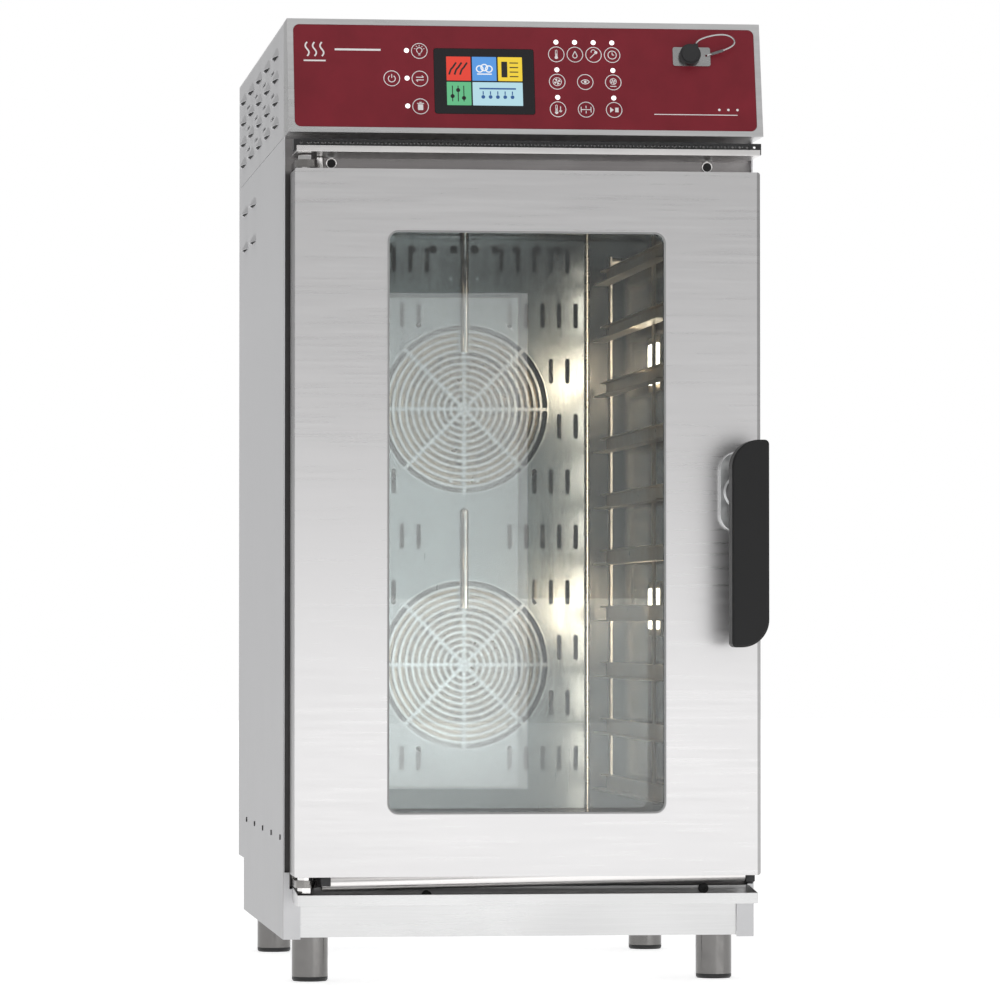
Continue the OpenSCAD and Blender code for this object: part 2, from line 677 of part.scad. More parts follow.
module door_skin() from_front() color("lightgray") difference() {
    along_y([-door_front, -seal_back]) door_outline(0);
    along_y([-door_front + sheet, 0]) door_outline(sheet);
    along_y([-door_front - 5, -door_front + 5]) window_outline(0);
    rod_y(handle_x, [-door_front - 5, -door_front + 5], handle_z, 12);
    rod_z(hinge_x, -hinge_front, [door_z1 - 5, door_z1 + 5], pin_r + 4);
    rod_z(hinge_x, -hinge_front, [door_z0 - 5, door_z0 + 5], pin_r + 4);
}

module door_inner_frame() from_front() color("silver") {
    along_y([-seal_back, -door_back]) difference() {
        door_outline(0);
        window_outline(6);
        translate([handle_x, handle_z]) circle(12);
    }
    along_y([-59, -seal_back]) difference() {
        window_outline(7.2);
        window_outline(6);
    }
}

module outer_glass() from_front() color([0.7, 0.75, 0.78, 0.4])
    along_y([-door_front + sheet, -door_front + sheet + 5])
        round_rect([-172, 172], [window_z0 - 20, window_z1 + 20], 6);

module inner_glass() from_front() color([0.7, 0.75, 0.78, 0.4])
    along_y([-door_back, -door_back + 5]) round_rect([-178, 178], [window_z0 - 26, window_z1 + 26], 6);

module window_seal() from_front() color("black") {
    along_y([-door_front - 0.3, -door_front + sheet]) difference() {
        window_outline(0);
        window_outline(-2);
    }
    along_y([-door_front + sheet + 5, -59]) difference() {
        window_outline(17);
        window_outline(6);
    }
}

// The drip channel under the door slopes down towards the hinge
module drip_channel() from_front() color("gainsboro") {
    x0 = -222;
    x1 = 240;
    drop = 8.5;
    slope = atan(drop / (x1 - x0));
    r = 9;
    intersection() {
        translate([x1, -54, 121.5]) rotate([0, -slope, 0]) along_x([x0 - x1 - 2, 0]) difference() {
            circle(r);
            circle(r - 1.2);
        }
        block([x0, x1], [-70, -40], [90, door_z0]);
    }
}

module hinge_bushes() from_front() color("brown") {
    difference() {
        rod_z(hinge_x, -hinge_front, [862, door_z1], pin_r + 4);
        rod_z(hinge_x, -hinge_front, [850, door_z1 + 5], pin_r + fit);
    }
    difference() {
        rod_z(hinge_x, -hinge_front, [door_z0, 144], pin_r + 4);
        rod_z(hinge_x, -hinge_front, [door_z0 - 5, 150], pin_r + fit);
    }
}

module handle_rosette() from_front() color("lightgray") difference() {
    union() {
        along_y([-door_front - 8, -door_front])
            round_rect([handle_x - 23, handle_x + 22.5], [handle_z - 44, handle_z + 44], 20);
        rod_y(handle_x, [-door_front - 12, -door_front - 8], handle_z, 18);
        rod_y(handle_x, [-door_front, -door_back + 0.2], handle_z, 11.9);
    }
    rod_y(handle_x, [-door_front - 20, 5], handle_z, spindle_r + fit);
}

module handle_spindle() from_front() color("silver")
    rod_y(handle_x, [-door_front - 24, -0.5], handle_z, spindle_r);

// Outline of the grip in (x, z): one large round at the top left and one at the bottom right
module grip_outline(inset) {
    x0 = handle_x - grip_w / 2 + inset;
    x1 = handle_x + grip_w / 2 - inset;
    z0 = handle_z - 168.5 + inset;
    z1 = handle_z + 55 - inset;
    big = 30 - inset;
    small = 5 - inset / 2;
    difference() {
        round_rect([x0, x1], [z0, z1], small);
        translate([x0 - 1, z1 - big]) square([big + 1, big + 1]);
        translate([x1 - big, z0 - 1]) square([big + 1, big + 1]);
    }
    intersection() {
        translate([x0, z1 - big]) square([big, big]);
        translate([x0 + big, z1 - big]) circle(big);
    }
    intersection() {
        translate([x1 - big, z0]) square([big, big]);
        translate([x1 - big, z0 + big]) circle(big);
    }
}

module handle_grip() from_front() color([0.06, 0.06, 0.06]) difference() {
    union() {
        along_y([-handle_front + 1.5, -handle_front + 24]) grip_outline(0);
        along_y([-handle_front, -handle_front + 1.5]) grip_outline(1.5);
        rod_y(handle_x, [-handle_front + 24, -door_front - 12.4], handle_z, 17);
    }
    rod_y(handle_x, [-door_front - 24, -door_front], handle_z, spindle_r);
}

module latch_fork() from_front() color("silver") difference() {
    union() {
        rod_y(handle_x, [-6.8, -0.5], handle_z, 13);
        along_y([-6.8, -3.6]) polygon([[handle_x - 9, handle_z], [handle_x + 9, handle_z],
            [handle_x + 6, handle_z - 30], [handle_x - 6, handle_z - 30]]);
    }
    rod_y(handle_x, [-10, 5], handle_z, spindle_r);
}

// ---- fans ----

module impeller(z) {
    difference() {
        union() {
            rod_y(0, [590, 592], z, 92);
            rod_y(0, [564, 590], z, 14);
        }
        rod_y(0, [550, 600], z, shaft_r + fit);
    }
    translate([0, 0, z]) for (a = [0:18:342]) rotate([0, a, 0])
        translate([70, 0, 0]) rotate([0, 35, 0]) block([-18, 20], [557, 590], [-0.8, 0.8]);
    difference() {
        rod_y(0, [556, 557], z, 92);
        rod_y(0, [550, 560], z, 72);
    }
}

module fan_shaft(z) {
    rod_y(0, [556, cavity_d + insul + 58], z, shaft_r);
    translate([0, 564, z]) rotate([90, 0, 0]) cylinder(h = 7, r = 10, $fn = 6);
}

module upper_impeller() from_front() color("gray") impeller(fan_upper_z);
module lower_impeller() from_front() color("gray") impeller(fan_lower_z);
module upper_fan_shaft() from_front() color("silver") fan_shaft(fan_upper_z);
module lower_fan_shaft() from_front() color("silver") fan_shaft(fan_lower_z);

base_tray();
left_side_panel();
right_side_panel();
left_upper_cover();
right_upper_cover();
top_cover();
rear_panel();
front_frame();
cavity_liner();
insulation();
door_gasket();
steam_deflector();
vent_trim();
gutter();
control_box();
control_overlay();
display_module();
control_board();
socket_plate();
probe_socket();
fan_baffle();
steam_injectors();
heaters();
fan_motors();
tray_racks();
lamp_frames();
lamp_lenses();
drain_strainer();
drain_pipe();
inlet_valves();
vent_chimney();
flap_actuator();
cable_gland();
hinge_brackets();
hinge_pins();
door_keeper();
foot_tubes();
foot_front_left();
foot_front_right();
foot_rear_left();
foot_rear_right();
panel_screws();
door_skin();
door_inner_frame();
outer_glass();
inner_glass();
window_seal();
drip_channel();
hinge_bushes();
handle_rosette();
handle_spindle();
handle_grip();
latch_fork();
upper_impeller();
upper_fan_shaft();
lower_impeller();
lower_fan_shaft();
vent_flap();
socket_cap();
cap_tether();
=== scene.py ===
"""Looks of the slim combi steamer oven: materials, printed key symbols, display picture, lamps and studio."""
import math

import bmesh
import bpy
from mathutils import Matrix, Vector


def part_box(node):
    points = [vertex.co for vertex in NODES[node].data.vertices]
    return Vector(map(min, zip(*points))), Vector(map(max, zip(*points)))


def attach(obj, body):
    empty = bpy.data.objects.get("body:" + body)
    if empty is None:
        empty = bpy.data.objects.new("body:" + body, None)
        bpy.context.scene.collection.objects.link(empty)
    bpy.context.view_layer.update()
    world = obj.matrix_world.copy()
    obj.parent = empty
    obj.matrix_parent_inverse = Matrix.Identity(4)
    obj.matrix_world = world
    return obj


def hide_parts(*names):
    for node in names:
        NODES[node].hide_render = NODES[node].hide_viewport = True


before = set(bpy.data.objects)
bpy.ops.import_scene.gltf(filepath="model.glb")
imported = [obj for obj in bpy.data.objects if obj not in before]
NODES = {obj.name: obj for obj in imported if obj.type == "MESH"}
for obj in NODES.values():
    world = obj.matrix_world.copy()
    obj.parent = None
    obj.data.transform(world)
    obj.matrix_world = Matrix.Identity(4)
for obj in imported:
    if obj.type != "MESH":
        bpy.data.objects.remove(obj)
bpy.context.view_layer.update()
MM = 0.001
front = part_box("left_side_panel")[0].y          # the side panels' front edges
scene = bpy.context.scene


# ---------------------------------------------------------------- camera

def make_camera():
    """The viewing angle: seen from the oven's left and from just under its middle."""
    data = bpy.data.cameras.new("camera")
    data.sensor_width = 36.0
    data.lens = 188.2
    data.clip_start = 0.1
    data.clip_end = 60.0
    cam = bpy.data.objects.new("camera", data)
    cam.location = (-0.7009, front - 5.6884, 0.3945)
    cam.rotation_euler = (math.radians(91.34), 0.0, math.radians(-6.81))
    scene.collection.objects.link(cam)
    scene.camera = cam


make_camera()


# ---------------------------------------------------------------- cap tether

LEAN = math.atan(29 / 126)                       # the control face's lean, from upright


def on_face(across, out, up):
    """A place on the control face, in millimetres: across, outwards (negative) and up the face."""
    y = out * math.cos(LEAN) + up * math.sin(LEAN)
    z = up * math.cos(LEAN) - out * math.sin(LEAN)
    return Vector((across * MM, front + (y - 70) * MM, (z + 924) * MM))


ROUTE = [(188, -5.5, 104.3), (189, -6, 106), (192, -7, 108.2), (197, -8, 110.2), (203, -9, 111.8),
         (210, -10, 112.9), (217, -10.5, 113.2), (223, -10, 112.4), (227.5, -9.5, 110.2), (230, -9, 107),
         (229.5, -8, 103.6), (226.5, -7, 100.8), (222, -6, 98.6), (217, -5, 96.8), (211.5, -4, 95.2),
         (206.5, -3.2, 93.8), (203, -2.6, 92.8), (200.5, -2.2, 92.3)]


def wire(name, points, radius, sides=8):
    """A curve of one open spline through the points. Each point has the radius, for true bounds."""
    data = bpy.data.curves.new(name, "CURVE")
    data.dimensions = "3D"
    data.bevel_depth = 1.0
    data.bevel_resolution = sides // 2
    data.use_fill_caps = True
    spline = data.splines.new("POLY")
    spline.points.add(len(points) - 1)
    for point, place in zip(spline.points, points):
        point.co = (*place, 1)
        point.radius = radius
    obj = bpy.data.objects.new(name, data)
    scene.collection.objects.link(obj)
    return obj


def smooth_route(points, steps=5):
    """A Catmull-Rom line through the points."""
    out = []
    for i in range(len(points) - 1):
        p0, p1 = points[max(i - 1, 0)], points[i]
        p2, p3 = points[i + 1], points[min(i + 2, len(points) - 1)]
        for k in range(steps):
            t = k / steps
            out.append(0.5 * (2 * p1 + (p2 - p0) * t + (2 * p0 - 5 * p1 + 4 * p2 - p3) * t * t
                              + (3 * p1 - p0 - 3 * p2 + p3) * t ** 3))
    return out + [points[-1]]


tether_line = smooth_route([on_face(*p) for p in ROUTE])
tether = wire("tether_wire", tether_line, 0.9 * MM)
ferrule = wire("tether_ferrule", tether_line[-22:-8], 1.5 * MM)
for piece in (tether, ferrule):
    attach(piece, "cap")
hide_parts("cap_tether")


# ---------------------------------------------------------------- material helpers

def new_material(name):
    mat = bpy.data.materials.new(name)
    mat.use_nodes = True
    tree = mat.node_tree
    return mat, tree, tree.nodes["Principled BSDF"]


def add(tree, kind, **values):
    """A node with its properties, or input sockets by name, set."""
    node = tree.nodes.new(kind)
    for key, value in values.items():
        if key in node.bl_rna.properties:
            setattr(node, key, value)
        else:
            node.inputs[key.replace("_", " ")].default_value = value
    return node


def object_space(tree, scale):
    """Object coordinates, in metres, stretched by a scale."""
    coord = add(tree, "ShaderNodeTexCoord")
    mapping = add(tree, "ShaderNodeMapping", Scale=scale)
    tree.links.new(coord.outputs["Object"], mapping.inputs["Vector"])
    return mapping.outputs["Vector"]


def noise(tree, scale, detail=3.0, roughness=0.6):
    node = add(tree, "ShaderNodeTexNoise", Scale=1.0, Detail=detail, Roughness=roughness)
    tree.links.new(object_space(tree, scale), node.inputs["Vector"])
    return node.outputs["Fac"]


def remap(tree, value, low, high, out_low, out_high):
    node = add(tree, "ShaderNodeMapRange")
    tree.links.new(value, node.inputs["Value"])
    for name, number in (("From Min", low), ("From Max", high), ("To Min", out_low), ("To Max", out_high)):
        node.inputs[name].default_value = number
    return node.outputs["Result"]


def tint(tree, value, dark, light):
    """A colour between two, by a value from 0 to 1."""
    node = add(tree, "ShaderNodeMix", data_type="RGBA")
    tree.links.new(value, node.inputs["Factor"])
    for socket in node.inputs:
        if socket.type == "RGBA" and socket.name == "A":
            socket.default_value = (*dark, 1)
        if socket.type == "RGBA" and socket.name == "B":
            socket.default_value = (*light, 1)
    return next(s for s in node.outputs if s.type == "RGBA")


def combine(tree, a, b, operation="ADD"):
    node = add(tree, "ShaderNodeMath", operation=operation)
    tree.links.new(a, node.inputs[0])
    if isinstance(b, (int, float)):
        node.inputs[1].default_value = b
    else:
        tree.links.new(b, node.inputs[1])
    return node.outputs["Value"]


def bump(tree, bsdf, height, strength, distance):
    node = add(tree, "ShaderNodeBump", Strength=strength, Distance=distance)
    tree.links.new(height, node.inputs["Height"])
    tree.links.new(node.outputs["Normal"], bsdf.inputs["Normal"])


# Noise scales for lines along an axis: fine across, long along
GRAIN = {"X": (6, 260, 260), "Z": (260, 260, 6)}


def brushed(name, colour, rough, along, streak=0.05, depth=0.25, blotch=0.05):
    """Brushed sheet metal: fine lines along one axis, with faint handling marks."""
    mat, tree, bsdf = new_material(name)
    bsdf.inputs["Metallic"].default_value = 1.0
    lines = noise(tree, GRAIN[along], detail=5.0, roughness=0.7)
    marks = noise(tree, (5, 5, 7), detail=4.0)
    dark = [c * (1 - streak) for c in colour]
    light = [min(1, c * (1 + streak)) for c in colour]
    tree.links.new(tint(tree, remap(tree, lines, 0.3, 0.7, 0, 1), dark, light), bsdf.inputs["Base Color"])
    fine = remap(tree, lines, 0.3, 0.7, rough - 0.04, rough + 0.04)
    coarse = remap(tree, marks, 0.35, 0.65, -blotch, blotch)
    tree.links.new(combine(tree, fine, coarse), bsdf.inputs["Roughness"])
    bump(tree, bsdf, lines, depth, 0.00005)
    return mat


def polished(name, colour, rough):
    """Polished metal with light wear."""
    mat, tree, bsdf = new_material(name)
    bsdf.inputs["Metallic"].default_value = 1.0
    marks = noise(tree, (60, 60, 60), detail=5.0)
    dark = [c * 0.93 for c in colour]
    tree.links.new(tint(tree, marks, dark, colour), bsdf.inputs["Base Color"])
    tree.links.new(remap(tree, marks, 0.3, 0.7, rough * 0.7, rough * 1.4), bsdf.inputs["Roughness"])
    return mat


def plastic(name, colour, rough, grain=0.0, scale=900, coat=0.0, shine=0.5):
    """Moulded plastic, rubber, film or paint, with a fine texture."""
    mat, tree, bsdf = new_material(name)
    marks = noise(tree, (20, 20, 20), detail=4.0)
    fine = noise(tree, (scale, scale, scale), detail=2.0)
    dark = [c * 0.9 for c in colour]
    light = [min(1, c * 1.08) for c in colour]
    tree.links.new(tint(tree, remap(tree, marks, 0.35, 0.65, 0, 1), dark, light), bsdf.inputs["Base Color"])
    tree.links.new(remap(tree, marks, 0.3, 0.7, rough * 0.88, rough * 1.12), bsdf.inputs["Roughness"])
    bsdf.inputs["Coat Weight"].default_value = coat
    bsdf.inputs["Specular IOR Level"].default_value = shine
    if grain:
        bump(tree, bsdf, fine, grain, 0.0001)
    return mat


def clear_glass(name, colour, rough=0.0):
    mat, tree, bsdf = new_material(name)
    bsdf.inputs["Base Color"].default_value = (*colour, 1)
    bsdf.inputs["Transmission Weight"].default_value = 1.0
    bsdf.inputs["IOR"].default_value = 1.48
    smears = noise(tree, (9, 9, 4), detail=4.0)
    tree.links.new(remap(tree, smears, 0.45, 0.8, rough, rough + 0.005), bsdf.inputs["Roughness"])
    return mat


def glowing(name, colour, strength, base=(0.02, 0.02, 0.02), rough=0.2):
    mat, tree, bsdf = new_material(name)
    bsdf.inputs["Base Color"].default_value = (*base, 1)
    bsdf.inputs["Emission Color"].default_value = (*colour, 1)
    bsdf.inputs["Emission Strength"].default_value = strength
    marks = noise(tree, (300, 300, 300))
    tree.links.new(remap(tree, marks, 0.3, 0.7, rough * 0.8, rough * 1.2), bsdf.inputs["Roughness"])
    return mat


def baffle_steel():
    """The fan baffle: satin sheet, with painted light making it brighter on the pressed guards round each
    fan.
    """
    mat = brushed("baffle_steel", (0.25, 0.26, 0.265), 0.22, "Z", streak=0.03, blotch=0.03)
    tree = mat.node_tree
    bsdf = tree.nodes["Principled BSDF"]
    plain = bsdf.inputs["Base Color"].links[0].from_socket
    coord = add(tree, "ShaderNodeTexCoord")
    inside = None
    for fan in ("upper_fan_shaft", "lower_fan_shaft"):
        low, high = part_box(fan)
        flat = add(tree, "ShaderNodeVectorMath", operation="MULTIPLY")
        flat.inputs[1].default_value = (1, 0, 1)
        tree.links.new(coord.outputs["Object"], flat.inputs[0])
        away = add(tree, "ShaderNodeVectorMath", operation="DISTANCE")
        tree.links.new(flat.outputs[0], away.inputs[0])
        away.inputs[1].default_value = ((low.x + high.x) / 2, 0, (low.z + high.z) / 2)
        near = remap(tree, away.outputs["Value"], 0.102, 0.103, 1, 0)
        inside = near if inside is None else combine(tree, inside, near)
    # Painted light: the pressed guards round each fan get a lighter colour than the rest of the sheet.
    mix = add(tree, "ShaderNodeMix", data_type="RGBA")
    sockets = [s for s in mix.inputs if s.type == "RGBA"]
    tree.links.new(inside, mix.inputs["Factor"])
    tree.links.new(plain, sockets[0])
    sockets[1].default_value = (0.40, 0.405, 0.41, 1)
    tree.links.new(next(s for s in mix.outputs if s.type == "RGBA"), bsdf.inputs["Base Color"])
    return mat


def shaded(mat, axis, places, values):
    """Paints light or shade into a metal's colour: lighter or darker along one of the object's axes."""
    tree = mat.node_tree
    bsdf = tree.nodes["Principled BSDF"]
    plain = bsdf.inputs["Base Color"].links[0].from_socket
    coord = add(tree, "ShaderNodeTexCoord")
    split = add(tree, "ShaderNodeSeparateXYZ")
    tree.links.new(coord.outputs["Object"], split.inputs[0])
    place = split.outputs[axis]
    if axis == "X":
        sideways = add(tree, "ShaderNodeMath", operation="ABSOLUTE")
        tree.links.new(place, sideways.inputs[0])
        place = sideways.outputs[0]
    factor = remap(tree, place, *places, *values)
    scale = add(tree, "ShaderNodeVectorMath", operation="SCALE")
    tree.links.new(plain, scale.inputs[0])
    tree.links.new(factor, scale.inputs["Scale"])
    tree.links.new(scale.outputs[0], bsdf.inputs["Base Color"])
    return mat


def recess_steel():
    """The front frame: painted shade makes it dark beside the door, and painted light makes it 2.6 times
    lighter above it.
    """
    # Painted shade: a very dark base colour for the frame beside the door.
    mat = brushed("recess_steel", (0.13, 0.125, 0.125), 0.4, "X", streak=0.08)
    # Painted light: the band above the door 2.6 times brighter.
    return shaded(mat, "Z", (0.884, 0.889), (1.0, 2.6))


def side_steel():
    """The side panels' satin sheet, with painted shade darkening it towards the bottom and painted light
    making the front flange brighter than the outside.
    """
    mat = brushed("side_steel", (0.68, 0.68, 0.69), 0.48, "Z", streak=0.012, depth=0.08, blotch=0.01)
    # Painted shade: 0.70 times as bright at the bottom, rising to full brightness at 0.75 m up.
    shaded(mat, "Z", (0.1, 0.75), (0.70, 1.0))
    # Painted light: the front flange 1.32 times as bright as the outside.
    return shaded(mat, "X", (0.2588, 0.2592), (1.32, 1.0))


def door_steel():
    """The door's skin, with painted shade darkening its folded sides."""
    mat = brushed("door_steel", (0.72, 0.712, 0.714), 0.30, "X", streak=0.008, depth=0.05, blotch=0.008)
    # Painted shade: the folded sides at 0.55 times the front's colour.
    return shaded(mat, "X", (0.2522, 0.2529), (1.0, 0.55))


M = {
    "door": door_steel(),
    "baffle": baffle_steel(),
    "side": side_steel(),
    "pale": brushed("pale_steel", (0.88, 0.86, 0.85), 0.3, "X", streak=0.01, depth=0.05),
    "body_x": brushed("sheet_steel_x", (0.70, 0.70, 0.70), 0.3, "X"),
    "chamber": brushed("chamber_steel", (0.24, 0.235, 0.23), 0.22, "Z", streak=0.04, blotch=0.03),
    "rack": polished("rack_steel", (0.62, 0.56, 0.49), 0.38),
    "dark_steel": brushed("shaded_steel", (0.42, 0.41, 0.41), 0.36, "X", streak=0.08),
    "recess": recess_steel(),
    "hinge": polished("hinge_casting", (0.30, 0.29, 0.28), 0.22),
    "leg": polished("leg_tube", (0.20, 0.195, 0.19), 0.16),
    "bright": polished("polished_steel", (0.82, 0.81, 0.80), 0.12),
    "bead": polished("bead_steel", (0.80, 0.70, 0.58), 0.25),
    "satin": polished("satin_steel", (0.5, 0.5, 0.5), 0.2),
    "blade": polished("blade_steel", (0.26, 0.205, 0.15), 0.2),
    "heater": polished("heater_sheath", (0.22, 0.20, 0.19), 0.42),
    "cast": polished("cast_rosette", (0.72, 0.73, 0.73), 0.36),
    "film": plastic("overlay_film", (0.185, 0.010, 0.020), 0.45, grain=0.05, shine=0.3),
    "lens": plastic("display_lens", (0.008, 0.008, 0.01), 0.08),
    "black": plastic("black_moulding", (0.014, 0.014, 0.015), 0.42, grain=0.25),
    "grip": plastic("grip_coating", (0.011, 0.011, 0.0115), 0.42, grain=0.3, scale=1400, shine=0.3),
    "rubber": plastic("silicone_rubber", (0.03, 0.03, 0.032), 0.6, grain=0.2),
    "seal": plastic("window_silicone", (0.30, 0.30, 0.30), 0.5, grain=0.1),
    "wool": plastic("mineral_wool", (0.5, 0.44, 0.28), 0.95, grain=1.0, scale=350),
    "board": plastic("circuit_board", (0.02, 0.11, 0.045), 0.45, grain=0.1),
    "motor": plastic("motor_paint", (0.09, 0.10, 0.12), 0.4, grain=0.15),
    "nylon": plastic("valve_nylon", (0.03, 0.09, 0.2), 0.45, grain=0.1),
    "bronze": polished("sintered_bronze", (0.5, 0.34, 0.18), 0.4),
    "glass": clear_glass("window_glass", (0.93, 0.965, 0.96)),
    "print": plastic("white_print", (0.78, 0.76, 0.76), 0.45),
    "lamp": glowing("lamp_lens", (1.0, 0.9, 0.74), 6.0, base=(0.8, 0.8, 0.75), rough=0.35),
    "crimp": plastic("crimp_sleeve", (0.12, 0.12, 0.125), 0.35),
    # Painted shade: a near-black sheet that stands in for the dark inside the louvre mouths.
    "void": plastic("louvre_shade_sheets", (0.006, 0.006, 0.006), 0.95, grain=0.3),
    "badge": plastic("badge_enamel", (0.33, 0.012, 0.02), 0.25, coat=0.5),
    "led": glowing("status_light", (1.0, 0.95, 0.95), 0.9, base=(0.8, 0.78, 0.78)),
}

NODE_MATERIAL = {
    "door": ["door_skin"],
    "side": ["left_side_panel", "right_side_panel", "left_upper_cover", "right_upper_cover"],
    "body_x": ["control_box", "gutter", "base_tray", "top_cover", "rear_panel"],
    "chamber": ["cavity_liner", "drain_strainer", "door_inner_frame"],
    "rack": ["tray_racks", "lamp_frames"],
    "baffle": ["fan_baffle"],
    "blade": ["upper_impeller", "lower_impeller"],
    "dark_steel": ["vent_flap", "drain_pipe"],
    "recess": ["front_frame"],
    "hinge": ["hinge_brackets"],
    "pale": ["steam_deflector", "drip_channel"],
    "bright": ["hinge_pins", "steam_injectors",
               "latch_fork", "handle_spindle", "door_keeper"],
    "leg": ["foot_tubes"],
    "satin": ["socket_plate", "probe_socket", "vent_chimney", "upper_fan_shaft",
              "lower_fan_shaft", "cap_tether"],
    "heater": ["heaters"],
    "cast": ["handle_rosette"],
    "film": ["control_overlay"],
    "lens": ["display_module"],
    "black": ["vent_trim", "socket_cap", "cable_gland", "foot_front_left", "foot_front_right",
              "foot_rear_left", "foot_rear_right", "panel_screws", "flap_actuator"],
    "grip": ["handle_grip"],
    "rubber": ["door_gasket"],
    "seal": ["window_seal"],
    "wool": ["insulation"],
    "board": ["control_board"],
    "motor": ["fan_motors"],
    "nylon": ["inlet_valves"],
    "bronze": ["hinge_bushes"],
    "glass": ["outer_glass", "inner_glass"],
    "lamp": ["lamp_lenses"],
}


def assign(obj, mat):
    obj.data.materials.clear()
    obj.data.materials.append(mat)


for key, names in NODE_MATERIAL.items():
    for name in names:
        assign(NODES[name], M[key])
assign(tether, M["satin"])
assign(ferrule, M["crimp"])


# ---------------------------------------------------------------- soft edges

def soften(name, width, segments=2, angle=28):
    """Rounds a CAD node's outer edges: its triangles are merged into flat faces first."""
    obj = NODES[name]
    weld = obj.modifiers.new("weld", "WELD")
    weld.merge_threshold = 0.00001
    flat = obj.modifiers.new("flat", "DECIMATE")
    flat.decimate_type = "DISSOLVE"
    flat.angle_limit = math.radians(0.5)
    bevel = obj.modifiers.new("bevel", "BEVEL")
    bevel.width = width
    bevel.segments = segments
    bevel.limit_method = "ANGLE"
    bevel.angle_limit = math.radians(angle)
    bevel.harden_normals = False
    for poly in obj.data.polygons:
        poly.use_smooth = True
    normals = obj.modifiers.new("normals", "WEIGHTED_NORMAL")
    normals.keep_sharp = False
    normals.weight = 100


for part, radius in {"door_skin": 1.0, "control_box": 0.8, "gutter": 0.4, "steam_deflector": 0.3,
                     "left_side_panel": 0.5, "right_side_panel": 0.5, "top_cover": 0.5,
                     "handle_grip": 0.8, "socket_cap": 0.7, "socket_plate": 0.4,
                     "handle_rosette": 0.9, "hinge_brackets": 1.0, "door_keeper": 0.5}.items():
    soften(part, radius * MM)


# ---------------------------------------------------------------- flat drawing on the control face

def face_matrix(name):
    """Axes of a flat node's front face: X across, Y up the face, Z outwards; the origin is its middle."""
    mesh = NODES[name].data
    outward = max((p for p in mesh.polygons if p.normal.y < -0.5), key=lambda p: p.area).normal.copy()
    across = Vector((1, 0, 0))
    up = outward.cross(across).normalized()
    points = [v.co for v in mesh.vertices]
    top = max(p.dot(outward) for p in points)
    low, high = min(p.dot(up) for p in points), max(p.dot(up) for p in points)
    left, right = min(p.x for p in points), max(p.x for p in points)
    origin = across * (left + right) / 2 + up * (low + high) / 2 + outward * top
    return Matrix((
        (across.x, up.x, outward.x, origin.x),
        (across.y, up.y, outward.y, origin.y),
        (across.z, up.z, outward.z, origin.z),
        (0, 0, 0, 1)))


FACE = face_matrix("control_overlay")
PRINT_UP = 0.06 * MM


class Drawing:
    """A flat drawing in millimetres on a face, gathered into one mesh."""

    def __init__(self, name, matrix, lift=PRINT_UP, thick=0.05 * MM):
        self.name, self.matrix, self.lift, self.thick = name, matrix, lift, thick
        self.verts, self.faces = [], []

    def fill(self, points):
        """A filled outline, convex or nearly so, as a thin slab."""
        n = len(points)
        base = len(self.verts)
        for z in (self.lift, self.lift - self.thick):
            self.verts += [(x * MM, y * MM, z) for x, y in points]
        self.faces.append([base + i for i in range(n)])
        self.faces.append([base + n + i for i in reversed(range(n))])
        for i in range(n):
            j = (i + 1) % n
            self.faces.append([base + i, base + n + i, base + n + j, base + j])

    def disc(self, x, y, r, sides=24):
        self.fill([(x + r * math.cos(a), y + r * math.sin(a))
                   for a in (2 * math.pi * i / sides for i in range(sides))])

    def stroke(self, points, width):
        """A line through points, one quad to a stretch."""
        for (x0, y0), (x1, y1) in zip(points, points[1:]):
            length = math.hypot(x1 - x0, y1 - y0) or 1e-6
            nx, ny = (y0 - y1) / length * width / 2, (x1 - x0) / length * width / 2
            self.fill([(x0 - nx, y0 - ny), (x1 - nx, y1 - ny), (x1 + nx, y1 + ny), (x0 + nx, y0 + ny)])

    def arc(self, x, y, r, start, stop, width, steps=24):
        """Part of a ring, from one angle to another, in degrees."""
        angles = [math.radians(start + (stop - start) * i / steps) for i in range(steps + 1)]
        inner, outer = r - width / 2, r + width / 2
        for a, b in zip(angles, angles[1:]):
            self.fill([(x + inner * math.cos(a), y + inner * math.sin(a)),
                       (x + outer * math.cos(a), y + outer * math.sin(a)),
                       (x + outer * math.cos(b), y + outer * math.sin(b)),
                       (x + inner * math.cos(b), y + inner * math.sin(b))])

    def box(self, x0, y0, x1, y1, r=0.0, steps=5):
        """A filled rectangle with round corners."""
        if r <= 0:
            self.fill([(x0, y0), (x1, y0), (x1, y1), (x0, y1)])
            return
        points = []
        corners = ((x1 - r, y0 + r, -90), (x1 - r, y1 - r, 0), (x0 + r, y1 - r, 90), (x0 + r, y0 + r, 180))
        for cx, cy, turn in corners:
            for i in range(steps + 1):
                a = math.radians(turn + 90 * i / steps)
                points.append((cx + r * math.cos(a), cy + r * math.sin(a)))
        self.fill(points)

    def finish(self, mat):
        mesh = bpy.data.meshes.new(self.name)
        mesh.from_pydata(self.verts, [], self.faces)
        mesh.transform(self.matrix)
        mesh.validate()
        obj = bpy.data.objects.new(self.name, mesh)
        scene.collection.objects.link(obj)
        assign(obj, mat)
        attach(obj, "cabinet")


# Key places in millimetres from the middle of the control face
MID = 64.3                                       # the face's middle above its lower folded edge
LEFT_X = -115.8
POWER = (-146.5, 61.9 - MID)
LEFT_KEYS = [(LEFT_X, 62.0 - MID + 31.7 * i) for i in (1, 0, -1)]
ROW_Y = [91.8 - MID, 60.4 - MID, 28.8 - MID]
TOP_KEYS = [(34.3 + 20.5 * i, ROW_Y[0]) for i in range(4)]
MID_KEYS = [(34.4 + 30.8 * i, ROW_Y[1]) for i in range(3)]
LOW_KEYS = [(34.4 + 30.8 * i, ROW_Y[2]) for i in range(3)]
RING_R = 8.6
LINE = 0.9


